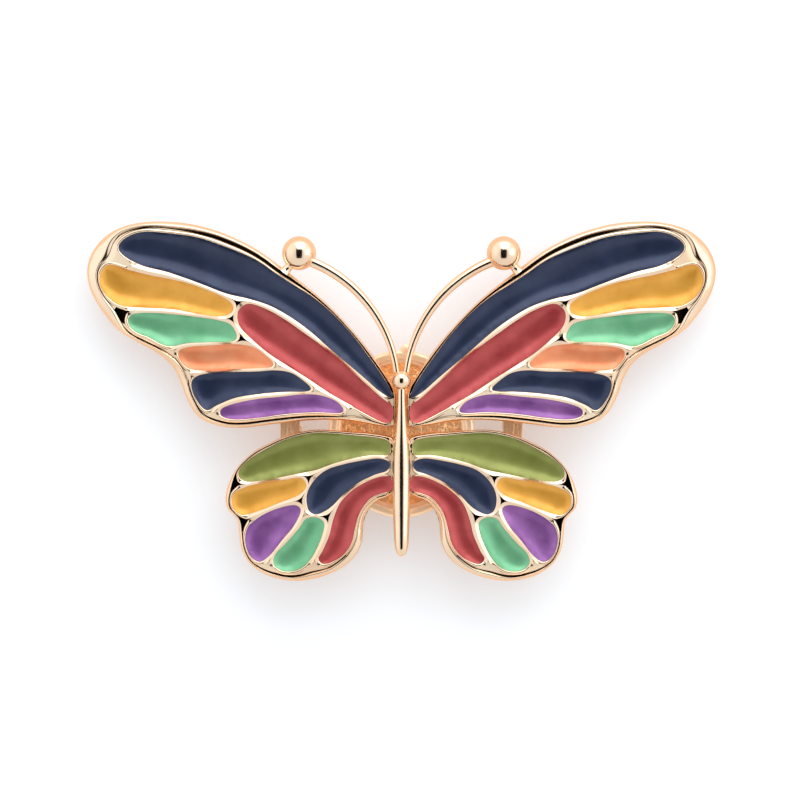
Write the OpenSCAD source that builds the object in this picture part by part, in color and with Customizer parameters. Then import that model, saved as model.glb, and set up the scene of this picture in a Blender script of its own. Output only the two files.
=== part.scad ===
// Enamelled butterfly brooch with a round-wire pin, a tube hinge and a rotating safety catch.
// Frame: +X along the wingspan, +Z towards the head, -Y towards the viewer.
// The origin is on the closed pin's axis, below the head.

/* [Wings] */
// Angle by which each wing leans back from the body, in degrees
wing_lean = 5; // [3:0.5:7]
// Thickness of a wing casting
wing_t = 1.6; // [1.4:0.1:2.2]
// Depth of an enamel cell below the wing's face
cell_depth = 0.7; // [0.5:0.05:0.9]
// How far the enamel stays below the wing's face
enamel_drop = 0.2; // [0.1:0.05:0.35]

/* [Body] */
// Radius of the round head
head_r = 0.95; // [0.8:0.05:1.1]
// Largest radius of the abdomen
abdomen_r = 0.95; // [0.75:0.05:1.0]

/* [Antennae] */
// Radius of an antenna's ball
ball_r = 1.75; // [1.4:0.05:1.9]
// Radius of an antenna's wire
wire_r = 0.4; // [0.3:0.05:0.5]
// Radius of the solder rod between a ball and its wing
tie_r = 0.5; // [0.3:0.05:0.6]

/* [Back plate] */
// Width of the oval back plate
plate_w = 15; // [14:0.2:16]
// Height of the oval back plate
plate_h = 17.2; // [16:0.2:18]
// Width of the rim round the back plate
plate_rim = 1.3; // [1:0.1:1.6]
// Thickness of the back plate's floor
plate_floor = 0.6; // [0.5:0.05:0.8]

/* [Pin and catch] */
// Length of the pin bar
bar_l = 25; // [24:0.5:26]
// Thickness of the pin bar
bar_t = 0.7; // [0.6:0.05:0.8]
// Radius of the pin's wire
pin_r = 0.35; // [0.3:0.01:0.4]
// Radius of the hinge rivet
rivet_r = 0.3; // [0.25:0.01:0.35]
// Running clearance round the hinge rivet and the catch lever
running_gap = 0.05; // [0.03:0.01:0.08]

/* [Hidden] */
$fn = 48;
SIDES = ["left", "right"];
FORE_CELLS = ["navy_long", "crimson", "amber", "mint", "coral", "navy_short", "violet"];
HIND_CELLS = ["olive", "navy", "crimson", "amber", "violet", "mint"];

// Colours of the plating and of the enamels
GOLD = [0.90, 0.70, 0.50];
NAVY = [0.13, 0.17, 0.32];
CRIMSON = [0.72, 0.20, 0.23];
AMBER = [0.90, 0.62, 0.20];
MINT = [0.36, 0.72, 0.52];
CORAL = [0.92, 0.52, 0.33];
VIOLET = [0.45, 0.22, 0.55];
OLIVE = [0.48, 0.52, 0.20];

// Outlines as [x, z] points of the right wings, each run through a closed smooth curve
FORE_OUTLINE = [
    [0.65, 3.6], [0.75, 5.0], [1.4, 6.3], [3.0, 8.6], [5.0, 11.1], [7.5, 13.75], [10.0, 15.9],
    [12.5, 17.8], [15.0, 19.6], [18.0, 21.1], [21.0, 22.05], [24.0, 22.45], [27.0, 22.35],
    [29.5, 21.65], [31.4, 20.2], [32.4, 18.2], [32.3, 16.0], [31.2, 13.7], [29.3, 11.4],
    [27.0, 9.95], [25.0, 8.85], [23.7, 7.7], [22.8, 6.1], [22.1, 4.2], [20.9, 2.4],
    [19.0, 1.5], [16.5, 1.25], [13.0, 1.65], [9.0, 2.05], [5.5, 2.0], [2.5, 1.5], [0.95, 1.35], [0.65, 2.2]
];
HIND_OUTLINE = [
    [0.65, -1.0], [0.95, 0.25], [3.0, 0.7], [5.0, 0.85], [7.0, 1.0], [8.8, 1.05], [10.5, 0.8],
    [12.0, 0.35], [13.5, -0.3], [15.0, -1.1], [16.2, -2.1], [17.0, -3.0], [17.5, -3.9],
    [17.9, -4.9], [18.1, -6.0], [17.9, -7.0], [17.3, -7.7], [16.8, -8.4], [16.7, -9.6],
    [16.5, -11.0], [15.9, -12.3], [15.0, -13.2], [13.8, -13.9], [12.4, -14.3], [10.8, -14.45],
    [9.2, -14.25], [7.6, -13.8], [6.2, -13.1], [5.1, -12.2], [4.4, -11.1], [4.1, -10.0],
    [4.05, -9.0], [3.85, -7.9], [3.3, -6.9], [2.5, -6.15], [1.5, -5.75], [0.85, -5.2], [0.65, -4.0]
];
FORE_POINTS = [
    [[0.95, 4.4], [1.5, 5.8], [3.1, 8.15], [5.0, 10.7], [7.0, 12.85], [9.0, 14.55],
     [11.0, 15.8], [13.0, 17.1], [15.0, 18.45], [18.0, 19.75], [21.0, 20.75], [24.0, 21.2],
     [26.5, 21.35], [28.2, 20.85], [29.1, 19.9], [28.5, 18.95], [26.7, 17.95], [24.0, 17.25],
     [21.0, 16.2], [18.0, 15.05], [15.5, 14.45], [13.0, 13.55], [10.0, 11.65], [7.0, 9.1],
     [4.0, 6.55], [2.1, 4.9]],
    [[0.95, 3.4], [2.1, 4.35], [4.0, 6.05], [6.0, 7.85], [8.0, 9.5], [10.0, 10.95],
     [12.0, 12.35], [14.0, 13.45], [15.8, 13.95], [16.8, 13.1], [16.6, 11.7], [15.3, 10.3],
     [13.5, 8.8], [11.5, 7.5], [9.5, 6.25], [7.5, 4.9], [5.5, 3.75], [3.5, 2.65],
     [1.7, 1.8], [0.95, 2.1]],
    [[17.3, 13.7], [18.1, 14.5], [20.0, 15.38], [22.0, 16.08], [24.0, 16.55], [26.0, 16.95],
     [28.0, 17.45], [30.0, 18.0], [30.9, 17.3], [31.0, 16.0], [30.1, 14.65], [28.6, 13.8],
     [26.0, 13.6], [23.5, 13.45], [21.0, 13.0], [18.8, 12.7], [17.6, 13.0]],
    [[16.95, 10.8], [17.6, 11.85], [19.0, 12.3], [21.0, 12.6], [23.5, 12.9], [26.0, 13.05],
     [27.7, 12.9], [28.1, 12.1], [27.4, 11.2], [26.0, 10.6], [24.8, 9.95], [23.6, 9.65],
     [22.0, 9.95], [20.0, 10.05], [18.3, 10.1], [17.2, 10.2]],
    [[13.2, 7.9], [13.9, 8.6], [15.2, 9.5], [17.0, 9.8], [19.5, 9.7], [22.0, 9.5],
     [22.95, 9.0], [22.5, 7.95], [21.5, 7.25], [19.5, 7.15], [17.0, 7.3], [14.5, 7.4],
     [13.4, 7.5]],
    [[9.3, 5.3], [10.05, 6.05], [11.3, 6.85], [12.8, 7.12], [15.0, 7.0], [17.5, 6.95],
     [20.0, 6.8], [21.3, 6.35], [21.55, 5.4], [21.0, 4.1], [20.0, 3.1], [18.8, 3.65],
     [17.0, 4.35], [14.5, 4.75], [12.0, 4.95], [9.8, 5.0]],
    [[5.95, 3.05], [6.7, 3.95], [8.3, 4.55], [10.0, 4.65], [12.5, 4.4], [15.0, 4.15],
     [17.2, 3.7], [18.5, 3.15], [18.4, 2.45], [17.0, 2.15], [14.5, 2.35], [12.0, 2.7],
     [9.0, 2.9], [6.6, 2.8]]
];
HIND_POINTS = [
    [[1.25, -0.25], [2.5, 0.2], [4.5, 0.4], [6.5, 0.6], [8.5, 0.7], [10.3, 0.45],
     [12.0, -0.05], [14.0, -1.05], [16.0, -2.35], [16.7, -3.5], [15.9, -4.25], [13.5, -4.0],
     [11.0, -3.5], [8.8, -3.05], [7.0, -2.4], [5.0, -1.85], [3.0, -1.5], [1.35, -1.45]],
    [[1.25, -2.3], [2.3, -1.9], [4.0, -2.1], [6.0, -2.52], [7.7, -3.1], [9.0, -4.2],
     [9.7, -5.7], [9.55, -7.1], [8.7, -7.6], [7.3, -6.9], [6.0, -5.6], [4.5, -4.4],
     [2.8, -3.55], [1.5, -3.1]],
    [[1.05, -3.95], [1.9, -3.72], [3.4, -4.2], [5.0, -5.15], [6.3, -6.5], [7.0, -8.2],
     [7.4, -9.8], [8.1, -11.4], [8.5, -12.2], [7.8, -12.65], [6.2, -11.9], [5.2, -10.6],
     [4.8, -9.0], [4.3, -7.4], [3.3, -6.0], [2.1, -5.4], [1.05, -5.1]],
    [[9.8, -4.5], [10.4, -3.9], [12.0, -4.1], [14.0, -4.4], [16.0, -4.85], [17.2, -5.6],
     [17.3, -6.8], [16.3, -7.65], [14.5, -7.2], [12.5, -6.4], [10.8, -5.75], [9.95, -5.1]],
    [[10.35, -7.3], [10.9, -6.7], [12.4, -6.95], [14.2, -7.7], [15.6, -8.8], [16.0, -10.2],
     [15.6, -11.7], [14.6, -12.45], [13.5, -11.8], [12.3, -10.3], [11.1, -8.85]],
    [[7.95, -8.5], [8.7, -7.95], [9.8, -8.1], [10.6, -9.2], [11.8, -10.55], [12.9, -11.7],
     [13.1, -12.7], [12.1, -13.4], [10.6, -13.25], [9.4, -12.3], [8.6, -10.9], [8.1, -9.6]]
];
// Each antenna is one arc about ARC_CENTRE, from its foot by the head to its ball
ARC_CENTRE = [14.6, 5.1];
ARC_R = 14.2;
ARC_ANGLES = [107, 172.5];
BALL_CENTRE = [10.55, 19.15];
TIE_FOOT = [12.1, 17.2];
// Profile of the abdomen and thorax as [share of abdomen_r, z]
BODY_LINE = [
    [0.4, 5.5], [0.4, 4.6], [0.48, 3.0], [0.62, 1.2], [0.88, -0.8], [1.0, -2.6],
    [1.0, -4.8], [0.94, -6.8], [0.87, -8.6], [0.8, -10.2], [0.7, -11.1], [0.5, -11.6],
    [0.25, -11.85]
];
BODY_END_Z = -11.9;
HEAD_Z = 6.1;

CURVE_STEPS = 4;
BODY_STEPS = 3;
PLATE_SIDES = 72;
tiny = 0.01;

// Depths along Y, from the pin's axis at 0 towards the viewer
wing_face_y = -6.2;
plate_front_y = wing_face_y + wing_t + 0.7;
plate_back_y = plate_front_y + 1.1;
bar_back_y = plate_back_y + bar_t;
antenna_y = wing_face_y + 0.3;
head_y = wing_face_y - 0.6;
plate_z = 0.6;

// The body's tongue fills the seam between the left and right wings
tongue_w = 0.6;
tongue_z = [-5.4, 5.0];

// Small rounded tab at the top of the back plate
tab_r = 0.65;
tab_at = [0.55, plate_z + plate_h / 2];

// Pin bar: a low rail behind the pin, a high rail, and a window each side of the plate
bar_z = [-1.4, 3.3];
window_x = [7.1, 10.5];
window_z = [0.45, 2.5];

// Hinge at the right end of the bar, with its rivet along Z
hinge_x = 11.3;
knuckle_r = 0.8;
knuckle_low = [-1.35, -0.75];
knuckle_high = [0.75, 2.4];
tube_z = [-0.68, 0.68];
tube_r = 0.66;
hinge_foot_t = 0.7;
rivet_head_r = 0.6;
rivet_head_t = 0.3;

// Pin stem, which starts in a square block at the hinge, points to the left and rests in the catch
block_x = 10.2;
block_w = 1.0;
tip_x = -12.9;
point_l = 3.0;
tip_r = 0.06;

// Rotating catch at the left end of the bar
catch_x = [-12.4, -10.4];
ring_l = 0.55;
shell_r = 1.4;
lever_r = 0.95;
pin_slot_w = 2 * pin_r + 0.24;
tab_l = 0.8;
tab_reach = 2.2;
tab_w = 0.5;

// Catmull-Rom span from b to c
function span(a, b, c, d, t) =
    0.5 * (2 * b + (c - a) * t + (2 * a - 5 * b + 4 * c - d) * t * t
           + (3 * b - a - 3 * c + d) * t * t * t);
// Closed smooth curve through pts
function ring(pts) =
    let (m = len(pts))
    [for (i = [0 : m - 1], k = [0 : CURVE_STEPS - 1])
        span(pts[(i + m - 1) % m], pts[i], pts[(i + 1) % m], pts[(i + 2) % m], k / CURVE_STEPS)];
// Open smooth curve through pts
function path(pts) =
    let (m = len(pts))
    [for (i = [0 : m - 2], k = [0 : BODY_STEPS - 1])
        span(pts[max(i - 1, 0)], pts[i], pts[i + 1], pts[min(i + 2, m - 1)], k / BODY_STEPS),
     pts[m - 1]];
// Place of a named cell in its wing's lists
function cell_at(names, name) = search([name], names)[0];
// Height of a pair of levels
function rise(levels) = levels[1] - levels[0];

// Mirrors its children onto the left side
module on_side(side) {
    mirror([side == "left" ? 1 : 0, 0, 0]) children();
}

// Turns a right-hand shape drawn in the XZ plane so that it leans back with the wing.
// Local Z becomes depth behind the plane at depth y.
module in_wing(y) {
    translate([0, y, 0])
        rotate([0, 0, wing_lean])
            rotate([90, 0, 0])
                mirror([0, 0, 1])
                    children();
}

// Plate of an outline between two depths behind the wing's face
module wing_slab(points, from, to) {
    in_wing(wing_face_y)
        translate([0, 0, from])
            linear_extrude(height = to - from)
                polygon(ring([for (p = points) [p[0] / cos(wing_lean), p[1]]]));
}

module wing(side, outline, cells) {
    color(GOLD)
    on_side(side)
    difference() {
        wing_slab(outline, 0, wing_t);
        for (cell = cells) wing_slab(cell, -1, cell_depth);
    }
}

module enamel(side, points, tint) {
    color(tint)
    on_side(side)
    wing_slab(points, enamel_drop, cell_depth);
}

module fore_enamel(side, name, tint) {
    enamel(side, FORE_POINTS[cell_at(FORE_CELLS, name)], tint);
}

module hind_enamel(side, name, tint) {
    enamel(side, HIND_POINTS[cell_at(HIND_CELLS, name)], tint);
}

// Half-round abdomen and thorax on the wings' faces, with a tongue between the wings
module body() {
    line_points = path([for (p = BODY_LINE) [p[0] * abdomen_r, p[1]]]);
    color(GOLD)
    difference() {
        union() {
            intersection() {
                translate([0, wing_face_y, 0])
                    rotate_extrude()
                        polygon(concat([[0, BODY_LINE[0][1]]], line_points, [[0, BODY_END_Z]]));
                translate([-2, wing_face_y - 2, BODY_END_Z - 1])
                    cube([4, 2, 20]);
            }
            translate([-tongue_w / 2, wing_face_y - tiny, tongue_z[0]])
                cube([tongue_w, plate_back_y - plate_floor - wing_face_y + tiny, rise(tongue_z)]);
        }
        head_ball();
    }
}

module head_ball() {
    translate([0, head_y, HEAD_Z]) sphere(r = head_r);
}

module head() {
    color(GOLD)
    difference() {
        head_ball();
        translate([-2, wing_face_y, HEAD_Z - 2]) cube([4, 2, 4]);
    }
}

module antenna_ball(side) {
    color(GOLD)
    on_side(side)
    in_wing(antenna_y)
        translate([BALL_CENTRE[0], BALL_CENTRE[1], 0])
            sphere(r = ball_r);
}

module antenna_wire(side) {
    color(GOLD)
    difference() {
        on_side(side)
        in_wing(antenna_y)
            translate([ARC_CENTRE[0], ARC_CENTRE[1], 0])
                rotate([0, 0, ARC_ANGLES[0]])
                    rotate_extrude(angle = ARC_ANGLES[1] - ARC_ANGLES[0])
                        translate([ARC_R, 0])
                            circle(r = wire_r);
        head_ball();
        antenna_ball(side);
    }
}

// Solder rod from the antenna's ball to the edge of the forewing
module antenna_tie(side) {
    span_x = TIE_FOOT[0] - BALL_CENTRE[0];
    span_z = TIE_FOOT[1] - BALL_CENTRE[1];
    color(GOLD)
    difference() {
        on_side(side)
        in_wing(antenna_y)
            translate([BALL_CENTRE[0], BALL_CENTRE[1], 0])
                rotate([0, 0, atan2(span_z, span_x)])
                    rotate([0, 90, 0])
                        cylinder(r = tie_r, h = norm([span_x, span_z]));
        antenna_ball(side);
        on_side(side) wing_slab(FORE_OUTLINE, 0, wing_t);
    }
}

// Prism of an ellipse in the XZ plane between two depths
module oval(w, h, y0, y1) {
    translate([0, y1, plate_z])
        rotate([90, 0, 0])
            linear_extrude(height = y1 - y0)
                polygon([for (i = [0 : PLATE_SIDES - 1])
                    let (a = 360 * i / PLATE_SIDES) [cos(a) * w / 2, sin(a) * h / 2]]);
}

module back_plate() {
    color(GOLD)
    difference() {
        union() {
            oval(plate_w, plate_h, plate_front_y, plate_back_y);
            translate([tab_at[0], plate_back_y, tab_at[1]])
                rotate([90, 0, 0])
                    cylinder(r = tab_r, h = plate_back_y - plate_front_y);
        }
        oval(plate_w - 2 * plate_rim, plate_h - 2 * plate_rim,
             plate_front_y - 1, plate_back_y - plate_floor);
    }
}

module pin_bar() {
    color(GOLD)
    difference() {
        translate([-bar_l / 2, plate_back_y, bar_z[0]])
            cube([bar_l, bar_t, rise(bar_z)]);
        for (side = SIDES)
            on_side(side)
                translate([window_x[0], plate_back_y - 1, window_z[0]])
                    cube([rise(window_x), bar_t + 2, rise(window_z)]);
    }
}

// Upright round bar about the hinge axis between two heights
module at_hinge(levels, r) {
    translate([hinge_x, 0, levels[0]]) cylinder(r = r, h = rise(levels));
}

module hinge_bracket() {
    color(GOLD)
    difference() {
        union() {
            for (levels = [knuckle_low, knuckle_high]) {
                at_hinge(levels, knuckle_r);
                translate([hinge_x - knuckle_r, bar_back_y, levels[0]])
                    cube([2 * knuckle_r, -bar_back_y, rise(levels)]);
            }
            translate([hinge_x - knuckle_r, bar_back_y, knuckle_low[0]])
                cube([2 * knuckle_r, hinge_foot_t, knuckle_high[1] - knuckle_low[0]]);
        }
        at_hinge([knuckle_low[0] - 1, knuckle_high[1] + 1], rivet_r);
    }
}

module hinge_rivet() {
    color(GOLD) {
        at_hinge([knuckle_low[0] - tiny, knuckle_high[1] + tiny], rivet_r);
        at_hinge([knuckle_low[0] - rivet_head_t, knuckle_low[0]], rivet_head_r);
        at_hinge([knuckle_high[1], knuckle_high[1] + rivet_head_t], rivet_head_r);
    }
}

module pin_hinge_tube() {
    color(GOLD)
    difference() {
        at_hinge(tube_z, tube_r);
        at_hinge([tube_z[0] - 1, tube_z[1] + 1], rivet_r + running_gap);
    }
}

module pin_stem() {
    shank_l = hinge_x - tip_x - point_l;
    color(GOLD)
    difference() {
        union() {
            translate([hinge_x, 0, 0])
                rotate([0, -90, 0]) {
                    cylinder(r = pin_r, h = shank_l);
                    translate([0, 0, shank_l]) cylinder(r1 = pin_r, r2 = tip_r, h = point_l);
                }
            translate([block_x, -block_w / 2, -block_w / 2])
                cube([hinge_x - block_x, block_w, block_w]);
        }
        at_hinge([-1, 1], tube_r);
    }
}

// Round bar along X between two places
module along_pin(ends, r) {
    translate([ends[0], 0, 0]) rotate([0, 90, 0]) cylinder(r = r, h = rise(ends));
}

// Two split rings joined by a half-round back, standing on the end of the bar
module catch_shell() {
    middle = [catch_x[0] + ring_l, catch_x[1] - ring_l];
    color(GOLD)
    difference() {
        union() {
            along_pin(catch_x, shell_r);
            translate([catch_x[0], bar_back_y, -shell_r * 0.6])
                cube([rise(catch_x), -bar_back_y - 0.5, shell_r * 1.2]);
        }
        along_pin([catch_x[0] - 1, catch_x[1] + 1], lever_r + running_gap);
        translate([catch_x[0] - 1, 0, -pin_slot_w / 2])
            cube([rise(catch_x) + 2, 2, pin_slot_w]);
        translate([middle[0], -0.45, -2])
            cube([rise(middle), 3, 4]);
    }
}

// Split sleeve that turns inside the shell, with a thumb tab
module catch_lever() {
    middle_x = (catch_x[0] + catch_x[1]) / 2;
    color(GOLD)
    difference() {
        union() {
            along_pin(catch_x, lever_r);
            translate([middle_x - tab_l / 2, -tab_w / 2, -tab_reach])
                cube([tab_l, tab_w, tab_reach]);
        }
        along_pin([catch_x[0] - 1, catch_x[1] + 1], pin_slot_w / 2);
        translate([catch_x[0] - 1, 0, -pin_slot_w / 2])
            cube([rise(catch_x) + 2, 2, pin_slot_w]);
    }
}

wing("left", FORE_OUTLINE, FORE_POINTS);  // left_forewing
fore_enamel("left", "navy_long", NAVY);  // left_fore_navy_long
fore_enamel("left", "crimson", CRIMSON);  // left_fore_crimson
fore_enamel("left", "amber", AMBER);  // left_fore_amber
fore_enamel("left", "mint", MINT);  // left_fore_mint
fore_enamel("left", "coral", CORAL);  // left_fore_coral
fore_enamel("left", "navy_short", NAVY);  // left_fore_navy_short
fore_enamel("left", "violet", VIOLET);  // left_fore_violet
wing("right", FORE_OUTLINE, FORE_POINTS);  // right_forewing
fore_enamel("right", "navy_long", NAVY);  // right_fore_navy_long
fore_enamel("right", "crimson", CRIMSON);  // right_fore_crimson
fore_enamel("right", "amber", AMBER);  // right_fore_amber
fore_enamel("right", "mint", MINT);  // right_fore_mint
fore_enamel("right", "coral", CORAL);  // right_fore_coral
fore_enamel("right", "navy_short", NAVY);  // right_fore_navy_short
fore_enamel("right", "violet", VIOLET);  // right_fore_violet
wing("left", HIND_OUTLINE, HIND_POINTS);  // left_hindwing
hind_enamel("left", "olive", OLIVE);  // left_hind_olive
hind_enamel("left", "navy", NAVY);  // left_hind_navy
hind_enamel("left", "crimson", CRIMSON);  // left_hind_crimson
hind_enamel("left", "amber", AMBER);  // left_hind_amber
hind_enamel("left", "violet", VIOLET);  // left_hind_violet
hind_enamel("left", "mint", MINT);  // left_hind_mint
wing("right", HIND_OUTLINE, HIND_POINTS);  // right_hindwing
hind_enamel("right", "olive", OLIVE);  // right_hind_olive
hind_enamel("right", "navy", NAVY);  // right_hind_navy
hind_enamel("right", "crimson", CRIMSON);  // right_hind_crimson
hind_enamel("right", "amber", AMBER);  // right_hind_amber
hind_enamel("right", "violet", VIOLET);  // right_hind_violet
hind_enamel("right", "mint", MINT);  // right_hind_mint
antenna_wire("left");  // left_antenna_wire
antenna_ball("left");  // left_antenna_ball
antenna_tie("left");  // left_antenna_tie
antenna_wire("right");  // right_antenna_wire
antenna_ball("right");  // right_antenna_ball
antenna_tie("right");  // right_antenna_tie
body();
head();
back_plate();
pin_bar();
hinge_bracket();
hinge_rivet();
pin_hinge_tube();
pin_stem();
catch_shell();
catch_lever();
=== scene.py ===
"""Enamelled butterfly brooch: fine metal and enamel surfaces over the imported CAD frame.

Lengths in the builders below are millimetres, and become metres in Shell.piece(). A wing is
drawn in its own plane: u outwards from the body, v up, and depth behind the wing's face.
"""
import math

import bpy
import numpy as np
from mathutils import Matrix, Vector
from mathutils.geometry import delaunay_2d_cdt


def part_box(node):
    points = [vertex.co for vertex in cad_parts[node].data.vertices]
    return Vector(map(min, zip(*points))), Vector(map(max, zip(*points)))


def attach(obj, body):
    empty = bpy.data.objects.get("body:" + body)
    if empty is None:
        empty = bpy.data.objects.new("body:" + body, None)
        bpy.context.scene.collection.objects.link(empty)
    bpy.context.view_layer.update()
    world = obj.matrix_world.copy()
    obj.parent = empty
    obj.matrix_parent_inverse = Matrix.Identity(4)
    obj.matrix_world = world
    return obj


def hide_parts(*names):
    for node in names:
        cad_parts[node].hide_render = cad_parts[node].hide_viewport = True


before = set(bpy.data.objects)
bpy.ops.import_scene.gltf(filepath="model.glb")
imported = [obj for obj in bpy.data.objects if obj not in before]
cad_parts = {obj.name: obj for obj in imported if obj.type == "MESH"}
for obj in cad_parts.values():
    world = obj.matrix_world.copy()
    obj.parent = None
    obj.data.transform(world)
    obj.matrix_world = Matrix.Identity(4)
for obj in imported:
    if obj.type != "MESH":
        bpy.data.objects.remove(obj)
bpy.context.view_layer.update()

MM = 0.001

# The frame's own dimensions, as the part's source sets them
WING_LEAN = math.radians(5)
WING_FACE_Y = -6.2
WING_T = 1.6
ENAMEL_DROP = 0.2
ANTENNA_Y = WING_FACE_Y + 0.3
ARC_CENTRE = (14.6, 5.1)
ARC_R = 14.2
ARC_ANGLES = (172.5, 107)
BALL_CENTRE = (10.55, 19.15)
BALL_R = 1.75
TIE_FOOT = (12.1, 17.2)
HEAD_AT = (0, WING_FACE_Y - 0.6, 6.1)
HEAD_R = 0.95
PLATE_H = 17.2
PLATE_RIM_W = 1.3
TAB_X = 0.55
TAB_R = 0.65
# The body's tongue between the wings: half its width, its depths and its ends
TONGUE_HALF_W = 0.3
TONGUE_DEPTH = (0.02, 2.8)
TONGUE_Z = (-5.4, 5.0)

# Raised wire round each cell, as (share of its width, depth behind the face): alone, and joined
# to the wire of the next cell
LIP_W = 0.42
LIP_ALONE = ((0, 0.13), (0.08, 0.05), (0.2, -0.005), (0.4, -0.055), (0.55, -0.03), (0.75, 0.02),
             (0.9, 0.07), (1, 0.12))
LIP_JOINED = ((0, 0.13), (0.08, 0.085), (0.2, 0.068), (0.4, 0.035), (0.55, 0.01), (0.75, -0.024),
              (0.9, -0.05), (1, -0.066))
# Cells closer than this share one wire between them
JOIN_GAP = 1.05
# The wires thin out from twice this u towards the body
ROOT_U = 0.9
# Rim of a wing, the crease inside it, and the metal from there to the cells
RIM_SHARE = 0.6
RIM_MAX_W = 2.4
BACK_EDGE_ROUND = 0.35
CREASE_W = 0.03
WEB_DEPTH = 0.16
WEB_SLOPE = 0.30
RECESS_DEPTH = 1.3
# Widest crease along the top and the bottom of a wing. The top one narrows towards the tip, down
# to a share of its width, and the bottom one grows from the body.
FORE_CREASES = (0.36, 0.16)
HIND_CREASES = (CREASE_W, 0.16)
TOP_FADE_END_U = 24
TOP_FADE_LENGTH = 6
TOP_FADE_LEAST = 0.2
LOW_START_U = 5
LOW_GROWTH_LENGTH = 5
# Deep gaps left open where three cells meet, or two cells and the rim
PITS = {
    "fore": (("navy_long", "crimson", "amber"), ("crimson", "amber", "mint"),
             ("crimson", "mint", "coral"), ("amber", "mint", "rim")),
    "hind": (("olive", "navy", "amber"), ("navy", "amber", "violet"), ("navy", "crimson", "mint"),
             ("olive", "amber", "rim"), ("amber", "violet", "rim")),
}
PIT_REACH = 1.1
# An enamel's depth where it meets its wire, how far it dips midway, and how softly it does so
ENAMEL_EDGE = 0.10
DISH = 0.75
DISH_SOFT = 0.12
# Spacing of mesh points
OUTLINE_STEP = 0.22
CELL_STEP = 0.16
WEB_STEP = 0.24
ENAMEL_STEP = 0.26
# A casting's materials, in the order of its slots; the second is near-black painted shade for
# creases and recesses
POLISHED, SHADED_SLOT, REAR, SATIN = range(4)

FORE_CELLS = ("navy_long", "crimson", "amber", "mint", "coral", "navy_short", "violet")
HIND_CELLS = ("olive", "navy", "crimson", "amber", "violet", "mint")


# ---------------------------------------------------------------- curves

def in_wing_plane(x, y, z):
    """Frame coordinates of the right side as (u, v, depth)."""
    back = y - WING_FACE_Y
    u = x * math.cos(WING_LEAN) + back * math.sin(WING_LEAN)
    depth = back * math.cos(WING_LEAN) - x * math.sin(WING_LEAN)
    return u, z, depth


def from_wing_plane(points, side):
    """(u, v, depth) rows as frame coordinates on a side, 1 for right and -1 for left."""
    u, v, depth = np.asarray(points, float).T
    x = side * (u * math.cos(WING_LEAN) - depth * math.sin(WING_LEAN))
    y = WING_FACE_Y + u * math.sin(WING_LEAN) + depth * math.cos(WING_LEAN)
    return np.column_stack([x, y, v])


def on_wing(side):
    """The function that places (u, v, depth) rows on a side."""
    return lambda points: from_wing_plane(points, side)


def area(loop):
    x, y = loop[:, 0], loop[:, 1]
    return 0.5 * float(np.sum(x * np.roll(y, -1) - np.roll(x, -1) * y))


def face_loop(node, depth):
    """The outer outline of a right-hand node's flat face at that depth, as (u, v) rows."""
    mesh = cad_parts[node].data
    places = [in_wing_plane(*(v.co / MM)) for v in mesh.vertices]
    keys = [(round(u, 2), round(v, 2)) for u, v, _ in places]
    on_face = [abs(d - depth) < 0.02 for _, _, d in places]
    uses = {}
    for polygon in mesh.polygons:
        if all(on_face[i] for i in polygon.vertices):
            corners = [keys[i] for i in polygon.vertices]
            for a, b in zip(corners, corners[1:] + corners[:1]):
                edge = (min(a, b), max(a, b))
                uses[edge] = uses.get(edge, 0) + 1
    links = {}
    for (a, b), count in uses.items():
        if count == 1:
            links.setdefault(a, []).append(b)
            links.setdefault(b, []).append(a)
    loops = []
    while links:
        start = next(iter(links))
        loop, here = [start], start
        while links.get(here):
            after = links[here].pop()
            links[after].remove(here)
            here = after
            if here == start:
                break
            loop.append(here)
        for corner in loop:
            if not links.get(corner):
                links.pop(corner, None)
        loops.append(np.array(loop))
    best = max(loops, key=lambda one: abs(area(one)))
    return best if area(best) > 0 else best[::-1]


def smooth_loop(loop, spacing):
    """A closed smooth curve through the loop's points, at even spacing."""
    before, after = np.roll(loop, 1, 0), np.roll(loop, -1, 0)
    after2 = np.roll(loop, -2, 0)
    dense = []
    for t in np.arange(8) / 8:
        dense.append(0.5 * (2 * loop + (after - before) * t
                            + (2 * before - 5 * loop + 4 * after - after2) * t ** 2
                            + (3 * loop - before - 3 * after + after2) * t ** 3))
    dense = np.stack(dense, 1).reshape(-1, 2)
    closed = np.vstack([dense, dense[:1]])
    run = np.concatenate([[0], np.cumsum(np.linalg.norm(np.diff(closed, axis=0), axis=1))])
    count = max(24, int(round(run[-1] / spacing)))
    at = np.arange(count) * run[-1] / count
    return np.column_stack([np.interp(at, run, closed[:, k]) for k in (0, 1)])


def outward(loop):
    """Unit normals of a counter-clockwise loop, pointing out of it."""
    along = np.roll(loop, -1, 0) - np.roll(loop, 1, 0)
    along /= np.linalg.norm(along, axis=1)[:, None]
    return np.column_stack([along[:, 1], -along[:, 0]])


def gap_to(points, others):
    """Distance from each point to the nearest of the others."""
    gaps = np.full(len(points), np.inf)
    for start in range(0, len(others), 400):
        step = others[None, start:start + 400] - points[:, None]
        gaps = np.minimum(gaps, np.sqrt((step ** 2).sum(2)).min(1))
    return gaps


def in_loop(points, loop):
    """Whether each point is inside the loop."""
    inside = np.zeros(len(points), bool)
    for (x1, y1), (x2, y2) in zip(loop, np.roll(loop, -1, 0)):
        if y1 != y2:
            level = (y1 > points[:, 1]) != (y2 > points[:, 1])
            inside ^= level & (points[:, 0] < x1 + (points[:, 1] - y1) / (y2 - y1) * (x2 - x1))
    return inside


def rolling(values, reach, how):
    """Combines each value on a loop with its neighbours up to reach places away."""
    return how(np.stack([np.roll(values, k) for k in range(-reach, reach + 1)]), axis=0)


# ---------------------------------------------------------------- meshes

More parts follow.
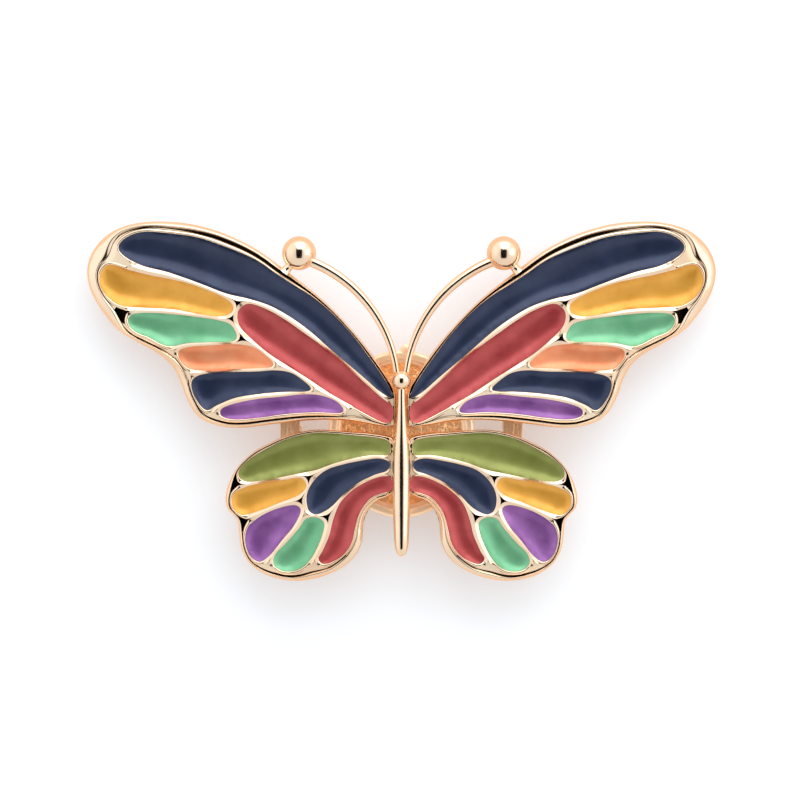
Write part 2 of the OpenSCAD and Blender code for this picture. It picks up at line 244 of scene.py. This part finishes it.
class Shell:
    """Collects rings and fills in millimetres, then becomes one object."""

    def __init__(self):
        self.points, self.faces, self.paints = [], [], []

    def add(self, points, faces, paint=0):
        start = sum(len(p) for p in self.points)
        self.points.append(np.asarray(points, float))
        self.faces += [[start + i for i in face] for face in faces]
        self.paints += np.broadcast_to(paint, len(faces)).tolist()

    def rings(self, rings, paint=0):
        """Quads between successive closed rings of equal length. paint may differ round a ring."""
        n = len(rings[0])
        faces = []
        for r in range(len(rings) - 1):
            for i in range(n):
                j = (i + 1) % n
                faces.append((r * n + i, r * n + j, (r + 1) * n + j, (r + 1) * n + i))
        self.add(np.vstack(rings), faces, np.tile(np.broadcast_to(paint, n), len(rings) - 1))

    def piece(self, name, place, materials, mirrored=False):
        """place turns the collected points into frame coordinates in millimetres."""
        mesh = bpy.data.meshes.new(name)
        points = place(np.vstack(self.points)) * MM
        faces = [face[::-1] for face in self.faces] if mirrored else self.faces
        mesh.from_pydata(points.tolist(), [], faces)
        for made in materials:
            mesh.materials.append(made)
        mesh.polygons.foreach_set("material_index", self.paints)
        mesh.polygons.foreach_set("use_smooth", [True] * len(faces))
        mesh.update()
        obj = bpy.data.objects.new(name, mesh)
        bpy.context.scene.collection.objects.link(obj)
        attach(obj, "brooch")
        return obj


def filled(loop, spacing):
    """Triangles over a loop's inside, with a staggered grid of inner points.

    Returns the points, with the loop's own first, and the triangles.
    """
    low, high = loop.min(0), loop.max(0)
    grid = []
    for row, y in enumerate(np.arange(low[1], high[1], spacing * 0.87)):
        shift = spacing / 2 if row % 2 else 0
        grid += [(x, y) for x in np.arange(low[0] + shift, high[0], spacing)]
    grid = np.array(grid)
    grid = grid[gap_to(grid, loop) > spacing * 0.6]
    flat = [Vector(p) for p in np.vstack([loop, grid]).tolist()]
    border = [(i, (i + 1) % len(loop)) for i in range(len(loop))]
    verts, _, faces, *_ = delaunay_2d_cdt(flat, border, [], 1, 1e-5)
    points = np.array([tuple(v) for v in verts])
    used = sorted({i for face in faces for i in face})
    renumber = {old: new for new, old in enumerate(used)}
    faces = [tuple(renumber[i] for i in face) for face in faces]
    return points[used], faces


def trough(points, faces, loop, spacing):
    """Depth of an evenly loaded skin held at the loop: 0 at the edge, deepest midway across."""
    edges = {tuple(sorted(e)) for f in faces for e in zip(f, f[1:] + f[:1])}
    a, b = np.array(sorted(edges)).T
    length2 = ((points[a] - points[b]) ** 2).sum(1)
    count = np.bincount(a, minlength=len(points)) + np.bincount(b, minlength=len(points))
    load = (np.bincount(a, length2, len(points)) + np.bincount(b, length2, len(points)))
    load = load / np.maximum(count, 1) / 4
    held = gap_to(points, loop) < spacing * 0.05
    skin = np.zeros(len(points))
    for _ in range(700):
        total = np.bincount(a, skin[b], len(points)) + np.bincount(b, skin[a], len(points))
        skin = total / np.maximum(count, 1) + load
        skin[held] = 0
    return skin


# ---------------------------------------------------------------- materials

def material(name, base, metallic=0.0, roughness=0.3, **sockets):
    made = bpy.data.materials.new(name)
    made.use_nodes = True
    shader = made.node_tree.nodes["Principled BSDF"]
    shader.inputs["Base Color"].default_value = (*base, 1)
    shader.inputs["Metallic"].default_value = metallic
    shader.inputs["Roughness"].default_value = roughness
    for socket, value in sockets.items():
        shader.inputs[socket.replace("_", " ")].default_value = value
    return made, shader


def noise(made, scale, detail=3.0, stretch=(1, 1, 1)):
    """Noise over the frame's coordinates in metres. scale is in cycles a metre."""
    nodes, links = made.node_tree.nodes, made.node_tree.links
    place = nodes.new("ShaderNodeTexCoord")
    spread = nodes.new("ShaderNodeMapping")
    spread.inputs["Scale"].default_value = stretch
    cloud = nodes.new("ShaderNodeTexNoise")
    cloud.inputs["Scale"].default_value = scale
    cloud.inputs["Detail"].default_value = detail
    links.new(place.outputs["Object"], spread.inputs["Vector"])
    links.new(spread.outputs["Vector"], cloud.inputs["Vector"])
    return cloud.outputs["Fac"]


def blend_colours(made, factor, low, high, span=(0.35, 0.65)):
    ramp = made.node_tree.nodes.new("ShaderNodeValToRGB")
    ramp.color_ramp.elements[0].position = span[0]
    ramp.color_ramp.elements[1].position = span[1]
    ramp.color_ramp.elements[0].color = (*low, 1)
    ramp.color_ramp.elements[1].color = (*high, 1)
    made.node_tree.links.new(factor, ramp.inputs["Fac"])
    return ramp.outputs["Color"]


def bump(made, shader, height, strength, distance):
    node = made.node_tree.nodes.new("ShaderNodeBump")
    node.inputs["Strength"].default_value = strength
    node.inputs["Distance"].default_value = distance
    made.node_tree.links.new(height, node.inputs["Height"])
    made.node_tree.links.new(node.outputs["Normal"], shader.inputs["Normal"])


def metal(name, low, high, roughness, ripple=(0.12, 0.1), scale=900, metallic=1.0,
          stretch=(1, 1, 1)):
    """Plated metal whose tint, polish and flatness vary a little. ripple is (strength, mm)."""
    made, shader = material(name, high, metallic, roughness)
    links = made.node_tree.links
    tint = noise(made, 160, 3.0, stretch)
    links.new(blend_colours(made, tint, low, high), shader.inputs["Base Color"])
    polish = made.node_tree.nodes.new("ShaderNodeMapRange")
    polish.inputs["To Min"].default_value = roughness - 0.03
    polish.inputs["To Max"].default_value = roughness + 0.03
    links.new(noise(made, 2400, 4.0), polish.inputs["Value"])
    links.new(polish.outputs["Result"], shader.inputs["Roughness"])
    bump(made, shader, noise(made, scale, 2.0, stretch), ripple[0], ripple[1] * MM)
    return made


def enamel(name, low, high):
    """Pearly enamel: clouded colour, part of it a soft metallic sheen, under a glossy coat."""
    made, shader = material(
        name, high, 0.42, 0.34,
        Coat_Weight=0.25, Coat_Roughness=0.12, Specular_IOR_Level=0.45,
    )
    cloud = noise(made, 420, 5.0)
    made.node_tree.links.new(
        blend_colours(made, cloud, low, high, (0.3, 0.7)), shader.inputs["Base Color"])
    bump(made, shader, noise(made, 1500, 3.0), 0.12, 0.05 * MM)
    return made


GOLD = metal("rose_gold", (0.96, 0.70, 0.49), (1.0, 0.80, 0.60), 0.13)
WEB_GOLD = metal("satin_gold", (1.0, 0.74, 0.50), (1.0, 0.83, 0.62), 0.36, metallic=0.3)
# Near-black metal: painted shade for the creases, the walls under the wires and the recess floor
# seen through the pits
PAINTED_SHADE = metal("recess_painted_shade", (0.020, 0.011, 0.007), (0.04, 0.022, 0.014), 0.42)
CAST_GOLD = metal("cast_gold", (1.0, 0.50, 0.20), (1.0, 0.76, 0.48), 0.26, (1.0, 0.35), 1100, 0.6)
RIM_GOLD = metal("cast_rim_gold", (1.0, 0.68, 0.42), (1.0, 0.84, 0.62), 0.30, (0.6, 0.1), 800, 0.4)
BACK_GOLD = metal("back_gold", (0.90, 0.62, 0.41), (0.94, 0.68, 0.47), 0.30, (0.3, 0.1), 600)
STREAKED_GOLD = metal("streaked_gold", (1.0, 0.60, 0.32), (1.0, 0.84, 0.60), 0.28, (1.0, 0.2), 1500,
                      0.4, (1, 1, 0.1))
PIN_STEEL = metal("pin_steel", (0.66, 0.64, 0.61), (0.76, 0.74, 0.71), 0.16, (0.05, 0.1))
# A weak glow stands in for the light that goes back and forth between the plate and the wings
for cast, warmth in ((CAST_GOLD, (1.0, 0.42, 0.14, 1)), (RIM_GOLD, (1.0, 0.66, 0.40, 1))):
    sockets = cast.node_tree.nodes["Principled BSDF"].inputs
    sockets["Emission Color"].default_value = warmth
    sockets["Emission Strength"].default_value = 0.2
ENAMELS = {
    "navy": enamel("navy_enamel", (0.015, 0.026, 0.070), (0.030, 0.046, 0.105)),
    "crimson": enamel("crimson_enamel", (0.42, 0.046, 0.050), (0.56, 0.086, 0.086)),
    "amber": enamel("amber_enamel", (0.78, 0.36, 0.040), (0.94, 0.48, 0.078)),
    "mint": enamel("mint_enamel", (0.145, 0.47, 0.24), (0.23, 0.60, 0.34)),
    "coral": enamel("coral_enamel", (0.92, 0.27, 0.11), (0.98, 0.40, 0.20)),
    "violet": enamel("violet_enamel", (0.21, 0.068, 0.29), (0.37, 0.15, 0.45)),
    "olive": enamel("olive_enamel", (0.23, 0.26, 0.052), (0.31, 0.34, 0.085)),
}


# ---------------------------------------------------------------- wings

def lip_rings(cell, width, joined):
    """Wire round a cell, width wide at each point. joined is 1 where it shares its crest."""
    normal = outward(cell)
    rings = []
    for (share, alone), (_, shared) in zip(LIP_ALONE, LIP_JOINED):
        depth = alone + (shared - alone) * joined
        rings.append(np.column_stack([cell + normal * (share * width)[:, None], depth]))
    return rings


def room_inside(outline, cells):
    """Distance from each point of the outline, straight inwards, to the cell that it faces."""
    normal = outward(outline)
    along = np.column_stack([-normal[:, 1], normal[:, 0]])
    to_cell = cells[None] - outline[:, None]
    inwards = -np.einsum("ijk,ik->ij", to_cell, normal)
    aside = np.abs(np.einsum("ijk,ik->ij", to_cell, along))
    straight, far = 0.15, 9
    inwards[(aside > straight) | (inwards < 0)] = far
    return rolling(rolling(inwards.min(1), 4, np.min), 5, np.mean)


def rim_and_crease(outline, cells, widest):
    """Along the outline: the rim's width, the crease's width inside it, and how creased it is.

    widest holds the crease's widths where the outline faces up and down. Where it faces sideways
    there is hardly a crease, and the rim slopes all the way from the cells.
    """
    top, low = (width - CREASE_W for width in widest)
    room = room_inside(outline, cells)
    u, facing = outline[:, 0], outward(outline)[:, 1]
    faded = np.clip((TOP_FADE_END_U - u) / TOP_FADE_LENGTH, TOP_FADE_LEAST, 1)
    crease = CREASE_W + np.clip(facing, 0, 1) ** 2 * top * faded
    grown = np.clip((u - LOW_START_U) / LOW_GROWTH_LENGTH, 0, 1)
    crease += np.clip(-facing, 0, 1) ** 4 * low * grown
    crease = np.minimum(rolling(crease, 5, np.mean), 0.32 * room)
    creased = rolling(np.clip((crease - CREASE_W) / 0.04, 0, 1), 4, np.mean)
    divided = np.minimum(RIM_SHARE * room, room - crease - LIP_W)
    rim = creased * divided + (1 - creased) * (room - 0.6 * LIP_W)
    rim = np.clip(rim, 0.45 * room, RIM_MAX_W)
    return rolling(rim, 4, np.mean), crease, creased


def rim_rings(outline, rim, crease, creased):
    """Back edge, side and rounded front of a wing's rim, whose crest is nearer its inner side."""
    normal = outward(outline)
    n = len(outline)

    def ring(inset, depth):
        inset, depth = np.broadcast_to(inset, n), np.broadcast_to(depth, n)
        return np.column_stack([outline - normal * inset[:, None], depth])

    drop = 0.18 + 0.42 * np.minimum(rim, 1.5)
    crest = 0.68 * creased + 0.97 * (1 - creased)
    rings = [ring(BACK_EDGE_ROUND, WING_T), ring(0.12, WING_T - 0.06), ring(0.0, WING_T - 0.3)]
    for t in np.linspace(0, 1, 10):
        rings.append(ring(crest * rim * t ** 1.25, drop * (1 - t) ** 1.35 - 0.03))
    inner_drop = creased * np.clip(0.09 + 1.2 * crease, 0, 0.22) + (1 - creased) * 0.03
    for t in np.linspace(0.2, 1, 5):
        rings.append(ring(rim * (crest + (1 - crest) * t), inner_drop * t ** 1.3 - 0.03))
    return rings


def build_web(edge, cells, pits):
    """Metal between the crease and the cells, as (points, faces). The pits are left open."""
    flat, faces = filled(edge, WEB_STEP)
    faces = np.array(faces)
    middle = flat[faces].mean(1)
    gaps = {name: gap_to(middle, cell) for name, cell in cells.items()}
    gaps["rim"] = gap_to(middle, edge)
    outside = np.ones(len(faces), bool)
    for cell in cells.values():
        outside &= ~in_loop(middle, cell)
    under_wire = 0.12
    keep = outside & (np.min([gaps[name] for name in cells], axis=0) > under_wire)
    for cell in cells.values():
        keep &= ~in_loop(flat, cell)[faces].any(1)
    for names in pits:
        widest = np.max([gaps[name] for name in names], axis=0)
        centre = middle[np.argmin(np.where(outside, widest, np.inf))]
        keep &= np.linalg.norm(middle - centre, axis=1) > PIT_REACH
    near = np.sort([gap_to(flat, cell) for cell in cells.values()], axis=0)
    narrow = near[0] + near[1] < JOIN_GAP - 0.17
    below_wires = 0.10
    slope = np.maximum(WEB_DEPTH - WEB_SLOPE * gap_to(flat, edge), 0.0)
    return np.column_stack([flat, np.where(narrow, below_wires, slope)]), faces[keep].tolist()


def build_wing(kind, cell_names, creases):
    """Casting and enamels of a forewing or hindwing, on both sides."""
    outline = smooth_loop(face_loop(f"right_{kind}wing", 0.0), OUTLINE_STEP)
    cells = {name: smooth_loop(face_loop(f"right_{kind}_{name}", ENAMEL_DROP), CELL_STEP)
             for name in cell_names}
    rim, crease, creased = rim_and_crease(outline, np.vstack(list(cells.values())), creases)
    normal = outward(outline)
    edge = outline - normal * (rim + crease)[:, None]
    valley = outline - normal * (rim + crease / 2)[:, None]
    casting = Shell()
    rings = rim_rings(outline, rim, crease, creased)
    casting.rings(rings)
    # the crease gets near-black painted shade, except where smooth metal faces the body
    plain = (normal[:, 0] < -0.45) & (creased < 0.1)
    casting.rings([rings[-1], np.column_stack([valley, WEB_DEPTH + 1.6 * crease]),
                   np.column_stack([edge, np.full(len(edge), WEB_DEPTH)])],
                  np.where(plain, SATIN, SHADED_SLOT))
    for name, cell in cells.items():
        gap = gap_to(cell, np.vstack([c for other, c in cells.items() if other != name]))
        joined = rolling((gap < JOIN_GAP).astype(float), 2, np.median)
        width = np.where(gap < JOIN_GAP, gap / 2, LIP_W)
        width = np.clip(np.minimum(width, gap_to(cell, edge)), 0.1, None)
        width = rolling(width, 2, np.mean) * np.clip((cell[:, 0] - ROOT_U) / ROOT_U, 0.3, 1)
        rings = lip_rings(cell, width, joined)
        casting.rings(rings)
        inside, foot = rings[0].copy(), rings[-1].copy()
        inside[:, :2] -= outward(cell) * 0.03
        inside[:, 2] = 0.5
        foot[:, 2] = RECESS_DEPTH
        casting.rings([inside, rings[0]])
        # the wall from the wire down to the recess is painted near-black as shade
        casting.rings([rings[-1], foot], SHADED_SLOT)
    web, faces = build_web(edge, cells, PITS[kind])
    casting.add(web, faces, SATIN)
    # the recess floor, seen through the pits, is painted near-black as shade
    floor, faces = filled(outline[::3], 1.2)
    casting.add(np.column_stack([floor, np.full(len(floor), RECESS_DEPTH - 0.02)]), faces, SHADED_SLOT)
    back, faces = filled(outline - normal * BACK_EDGE_ROUND, 1.0)
    casting.add(np.column_stack([back, np.full(len(back), WING_T)]),
                [face[::-1] for face in faces], REAR)

    for side, label in ((1, "right"), (-1, "left")):
        wing = casting.piece(f"{label}_{kind}wing_casting", on_wing(side),
                             [GOLD, PAINTED_SHADE, BACK_GOLD, WEB_GOLD], mirrored=side > 0)
        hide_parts(f"{label}_{kind}wing")
    for name, cell in cells.items():
        build_enamel(kind, name, cell)


def build_enamel(kind, name, cell):
    """A dished enamel with a skirt that goes down inside its wire."""
    edge = smooth_loop(cell, ENAMEL_STEP)
    points, faces = filled(edge, ENAMEL_STEP)
    skin = trough(points, faces, edge, ENAMEL_STEP)
    dish = ENAMEL_EDGE + DISH * (np.sqrt(skin + DISH_SOFT) - math.sqrt(DISH_SOFT))
    shell = Shell()
    shell.add(np.column_stack([points, dish]), faces)
    normal = outward(edge)
    shell.rings([np.column_stack([edge + normal * out, np.full(len(edge), depth)])
                 for out, depth in ((0.0, ENAMEL_EDGE), (0.05, 0.14), (0.05, 0.45))])
    tint = name.split("_")[0]
    for side, label in ((1, "right"), (-1, "left")):
        inlay = shell.piece(f"{label}_{kind}_{name}_enamel", on_wing(side), [ENAMELS[tint]],
                            mirrored=side > 0)
        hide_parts(f"{label}_{kind}_{name}")


# ---------------------------------------------------------------- body and antennae

def lathe(profile, steps=64):
    """Rings of [radius, height] rows turned about Z."""
    turn = np.linspace(0, 2 * math.pi, steps, endpoint=False)
    return [np.column_stack([r * np.cos(turn), r * np.sin(turn), np.full(steps, z)])
            for r, z in profile]


def gold_piece(shell, name, place, replaced):
    """One polished object that stands for a CAD node."""
    piece = shell.piece(name, place, [GOLD])
    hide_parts(replaced)


def ball(centre, radius, name, replaced):
    angles = np.linspace(-math.pi / 2, math.pi / 2, 49)
    shell = Shell()
    shell.rings(lathe([(max(1e-4, radius * math.cos(a)), radius * math.sin(a)) for a in angles]))
    gold_piece(shell, name, lambda p: p + np.array(centre), replaced)


def tube(path, radii, steps=28):
    """Rings of the given radii round a path of 3-D points."""
    path = np.asarray(path, float)
    rings = []
    for i, centre in enumerate(path):
        along = path[min(i + 1, len(path) - 1)] - path[max(i - 1, 0)]
        along /= np.linalg.norm(along)
        side = np.cross(along, (0, 1, 0))
        side /= np.linalg.norm(side)
        up = np.cross(side, along)
        turn = np.linspace(0, 2 * math.pi, steps, endpoint=False)[:, None]
        rings.append(centre + radii[i] * (np.cos(turn) * side + np.sin(turn) * up))
    return rings


def build_body():
    """Thorax and abdomen as one slim spindle, over the tongue between the wings."""
    spindle = [(0.38, 5.5), (0.38, 4.6), (0.45, 3.0), (0.58, 1.2), (0.83, -0.8), (0.94, -2.6),
               (0.94, -4.8), (0.89, -6.8), (0.82, -8.6), (0.76, -10.2), (0.67, -11.1),
               (0.48, -11.6), (0.24, -11.83), (0.02, -11.9)]
    heights = np.array([z for _, z in spindle])
    radii = np.array([r for r, _ in spindle])
    at = np.linspace(heights[0], heights[-1], 160)
    profile = np.interp(at, heights[::-1], radii[::-1])
    rounded = np.convolve(np.pad(profile, 5, "edge"), np.ones(11) / 11, "valid")
    # The rounding fades out over the last stretch, so that the tip keeps its blunt end
    blunt_length = 1.4
    share = np.clip((at - at[-1]) / blunt_length, 0, 1)
    smoothed = share * rounded + (1 - share) * profile
    shell = Shell()
    shell.rings(lathe(list(zip(smoothed, at)), 72))
    half, (front, back) = TONGUE_HALF_W, TONGUE_DEPTH
    tongue = [(-half, front), (half, front), (half, back), (-half, back)]
    shell.rings([np.array([(x, y, z) for x, y in tongue]) for z in TONGUE_Z])
    gold_piece(shell, "thorax_and_abdomen", lambda p: p + np.array([0, WING_FACE_Y, 0]), "body")
    ball(HEAD_AT, HEAD_R, "head_ball", "head")


def build_antennae():
    """Two stems that thicken from the head to the balls, each ball soldered to its wing."""
    depth = ANTENNA_Y - WING_FACE_Y
    stem_points = 60
    angles = np.radians(np.linspace(*ARC_ANGLES, stem_points))
    arc = [(ARC_CENTRE[0] + ARC_R * math.cos(a), depth, ARC_CENTRE[1] + ARC_R * math.sin(a))
           for a in angles]
    stem = Shell()
    stem.rings(tube(arc, np.interp(np.linspace(0, 1, stem_points), (0, 0.4, 1),
                                   (0.32, 0.42, 0.54))))
    line = [(BALL_CENTRE[0] + t * (TIE_FOOT[0] - BALL_CENTRE[0]), depth + 0.2 * t,
             BALL_CENTRE[1] + t * (TIE_FOOT[1] - BALL_CENTRE[1]))
            for t in np.linspace(0.5, 1, 9)]
    tie = Shell()
    tie.rings(tube(line, [0.75, 0.62, 0.52, 0.47, 0.45, 0.46, 0.5, 0.58, 0.68]))
    for side, label in ((1, "right"), (-1, "left")):
        def place(points, side=side):
            # The tubes are built in (u, depth, v)
            return from_wing_plane(points[:, [0, 2, 1]], side)
        gold_piece(stem, f"{label}_antenna_stem", place, f"{label}_antenna_wire")
        centre = from_wing_plane([(*BALL_CENTRE, depth)], side)[0]
        ball(centre, BALL_R, f"{label}_antenna_tip", f"{label}_antenna_ball")
        gold_piece(tie, f"{label}_antenna_solder", place, f"{label}_antenna_tie")


# ---------------------------------------------------------------- back plate and pin

def build_back_plate():
    """Oval plate: rounded rim with a step inside it, and a hammered floor."""
    low, high = (np.array(corner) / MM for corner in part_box("back_plate"))
    half_w = (high[0] - low[0]) / 2
    half_h = PLATE_H / 2
    centre_z = low[2] + half_h
    front, back = low[1], high[1]
    turn = np.linspace(0, 2 * math.pi, 220, endpoint=False)
    oval = np.column_stack([half_w * np.cos(turn), half_h * np.sin(turn)])
    normal = outward(oval)

    def ring(inset, y):
        inner = oval - normal * inset
        return np.column_stack([inner[:, 0], np.full(len(oval), y), inner[:, 1] + centre_z])

    profile = [(0.2, back), (0.05, back - 0.06), (0.0, back - 0.2), (0.0, front + 0.32),
               (0.05, front + 0.16), (0.16, front + 0.05), (0.34, front), (0.75, front + 0.02),
               (0.92, front + 0.10), (0.98, front + 0.20), (1.15, front + 0.22),
               (1.26, front + 0.30), (PLATE_RIM_W, front + 0.52)]
    shell = Shell()
    shell.rings([ring(*step) for step in profile])
    floor, faces = filled(oval - normal * (PLATE_RIM_W - 0.02), 0.5)
    shell.add(np.column_stack([floor[:, 0], np.full(len(floor), front + 0.5),
                               floor[:, 1] + centre_z]), faces, 1)
    rear, faces = filled(oval - normal * 0.2, 0.9)
    shell.add(np.column_stack([rear[:, 0], np.full(len(rear), back), rear[:, 1] + centre_z]),
              [face[::-1] for face in faces], 2)
    tab_turn = np.linspace(0, 2 * math.pi, 40, endpoint=False)
    tab = (TAB_R + 0.01) * np.column_stack([np.cos(tab_turn), np.sin(tab_turn)])
    tab_z = high[2] - TAB_R
    tab_profile = [(1.0, back), (1.0, front + 0.2), (0.93, front + 0.07), (0.8, front + 0.01),
                   (0.02, front)]
    shell.rings([np.column_stack([TAB_X + s * tab[:, 0], np.full(len(tab), y),
                                  tab_z + s * tab[:, 1]])
                 for s, y in tab_profile])
    obj = shell.piece("oval_back_plate", lambda p: p, [RIM_GOLD, CAST_GOLD, BACK_GOLD])
    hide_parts("back_plate")


def finish_hardware():
    """Softened edges and metal on the carried-over pin, hinge and catch."""
    finishes = {"pin_bar": STREAKED_GOLD, "hinge_bracket": BACK_GOLD, "hinge_rivet": PIN_STEEL,
                "pin_hinge_tube": PIN_STEEL, "pin_stem": PIN_STEEL, "catch_shell": BACK_GOLD,
                "catch_lever": GOLD}
    for name, finish in finishes.items():
        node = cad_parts[name]
        for slot in node.material_slots:
            slot.material = finish
        weld = node.modifiers.new("join", "WELD")
        weld.merge_threshold = 1e-6
        if name in ("pin_bar", "hinge_bracket", "catch_shell", "catch_lever"):
            edge = node.modifiers.new("soft_edge", "BEVEL")
            edge.width = 0.07 * MM
            edge.segments = 3
            edge.limit_method = "ANGLE"
            edge.angle_limit = math.radians(40)


# ---------------------------------------------------------------- studio

CAMERA_LENS = 150
SENSOR = 36
FRAME_W = 81.9 * MM
CENTRE = Vector((-0.15, -5.5, 4.1)) * MM
WORLD_LIGHT = 1.0
WORLD_SHINE = 1.15
TABLE_Y = 1.6 * MM
TABLE_GLOW = 0.23
TABLE_WHITE = (0.84, 0.885, 0.93)
TABLE_GOLDEN = (0.75, 0.54, 0.37)


def build_studio():
    far = FRAME_W / 2 / math.tan(math.atan(SENSOR / 2 / CAMERA_LENS))
    data = bpy.data.cameras.new("camera")
    data.lens = CAMERA_LENS
    data.sensor_width = SENSOR
    data.clip_start = 0.01
    camera = bpy.data.objects.new("camera", data)
    camera.location = CENTRE - Vector((0, far, 0))
    camera.rotation_euler = (math.radians(90), 0, 0)
    bpy.context.scene.collection.objects.link(camera)
    bpy.context.scene.camera = camera

    build_world()
    add_light("top_softbox", (0.05, -0.24, 0.30), 0.36, 0.5)
    add_light("right_softbox", (0.34, -0.22, 0.06), 0.26, 0.14)

    card_y = camera.location.y - 0.05
    add_card("black_camera", Vector((0.0, card_y, CENTRE.z - 0.02)), 0.30, 0.52)
    add_table()


def build_world():
    """Soft white light, dimmer below. Reflections see it brighter, and dimmer near the camera."""
    world = bpy.data.worlds.new("studio")
    world.use_nodes = True
    bpy.context.scene.world = world
    tree = world.node_tree
    place = tree.nodes.new("ShaderNodeTexCoord")
    split = tree.nodes.new("ShaderNodeSeparateXYZ")
    tree.links.new(place.outputs["Generated"], split.inputs["Vector"])

    def along(axis, start, end, low, high):
        reach = tree.nodes.new("ShaderNodeMapRange")
        reach.interpolation_type = "SMOOTHSTEP"
        for socket, value in zip(("From Min", "From Max", "To Min", "To Max"),
                                 (start, end, low, high)):
            reach.inputs[socket].default_value = value
        tree.links.new(split.outputs[axis], reach.inputs["Value"])
        return reach.outputs["Result"]

    def times(a, b):
        node = tree.nodes.new("ShaderNodeMath")
        node.operation = "MULTIPLY"
        for socket, value in zip(node.inputs, (a, b)):
            if isinstance(value, float):
                socket.default_value = value
            else:
                tree.links.new(value, socket)
        return node.outputs["Value"]

    soft = times(along("Z", -0.7, 0.5, 0.62, 1.0), WORLD_LIGHT)
    shiny = times(times(along("Z", -0.8, 0.3, 0.75, 1.0), along("Y", -0.92, -0.62, 0.80, 1.0)),
                  WORLD_SHINE)
    ray = tree.nodes.new("ShaderNodeLightPath")
    either = tree.nodes.new("ShaderNodeMix")
    tree.links.new(ray.outputs["Is Glossy Ray"], either.inputs["Factor"])
    tree.links.new(soft, either.inputs["A"])
    tree.links.new(shiny, either.inputs["B"])
    sky = tree.nodes["Background"]
    sky.inputs["Color"].default_value = (1, 1, 1, 1)
    tree.links.new(either.outputs["Result"], sky.inputs["Strength"])


def add_light(name, place, size, power):
    data = bpy.data.lights.new(name, "AREA")
    data.size = size
    data.energy = power
    light = bpy.data.objects.new(name, data)
    light.location = place
    light.rotation_euler = (CENTRE - Vector(place)).to_track_quat("-Z", "Y").to_euler()
    bpy.context.scene.collection.objects.link(light)


def quad(name, corners, made):
    mesh = bpy.data.meshes.new(name)
    mesh.from_pydata(corners, [], [(0, 1, 2, 3)])
    mesh.materials.append(made)
    obj = bpy.data.objects.new(name, mesh)
    bpy.context.scene.collection.objects.link(obj)
    return obj


def add_card(name, centre, width, height):
    """A black card that only reflections see."""
    made, _ = material("black_card", (0.002, 0.002, 0.002), 0.0, 1.0, Specular_IOR_Level=0.0)
    x, y, z = centre
    w, h = width / 2, height / 2
    corners = [(x - w, y, z - h), (x + w, y, z - h), (x + w, y, z + h), (x - w, y, z + h)]
    card = quad(name, corners, made)
    card.visible_camera = False
    card.visible_diffuse = False
    card.visible_shadow = False
    card.visible_transmission = False


def add_table():
    """The white surface behind the brooch, open from behind. Metal sees it in a golden light."""
    made, shader = material("white_table", TABLE_WHITE, 0.0, 0.9, Specular_IOR_Level=0.1,
                            Emission_Color=(1, 1, 1, 1), Emission_Strength=TABLE_GLOW)
    tree = made.node_tree
    ray = tree.nodes.new("ShaderNodeLightPath")
    tint = tree.nodes.new("ShaderNodeMix")
    tint.data_type = "RGBA"
    for socket, colour in (("A", TABLE_WHITE), ("B", TABLE_GOLDEN)):
        tint.inputs[socket].default_value = (*colour, 1)
    tree.links.new(ray.outputs["Is Glossy Ray"], tint.inputs["Factor"])
    tree.links.new(tint.outputs["Result"], shader.inputs["Base Color"])
    side = tree.nodes.new("ShaderNodeNewGeometry")
    clear = tree.nodes.new("ShaderNodeBsdfTransparent")
    either = tree.nodes.new("ShaderNodeMixShader")
    tree.links.new(side.outputs["Backfacing"], either.inputs["Fac"])
    tree.links.new(shader.outputs["BSDF"], either.inputs[1])
    tree.links.new(clear.outputs["BSDF"], either.inputs[2])
    tree.links.new(either.outputs["Shader"], tree.nodes["Material Output"].inputs["Surface"])
    y, reach = TABLE_Y, 0.8
    quad("table", [(-reach, y, -reach), (reach, y, -reach), (reach, y, reach), (-reach, y, reach)],
         made)


def main():
    build_wing("fore", FORE_CELLS, FORE_CREASES)
    build_wing("hind", HIND_CELLS, HIND_CREASES)
    build_body()
    build_antennae()
    build_back_plate()
    finish_hardware()
    build_studio()
    bpy.context.scene.view_settings.view_transform = "Standard"


main()
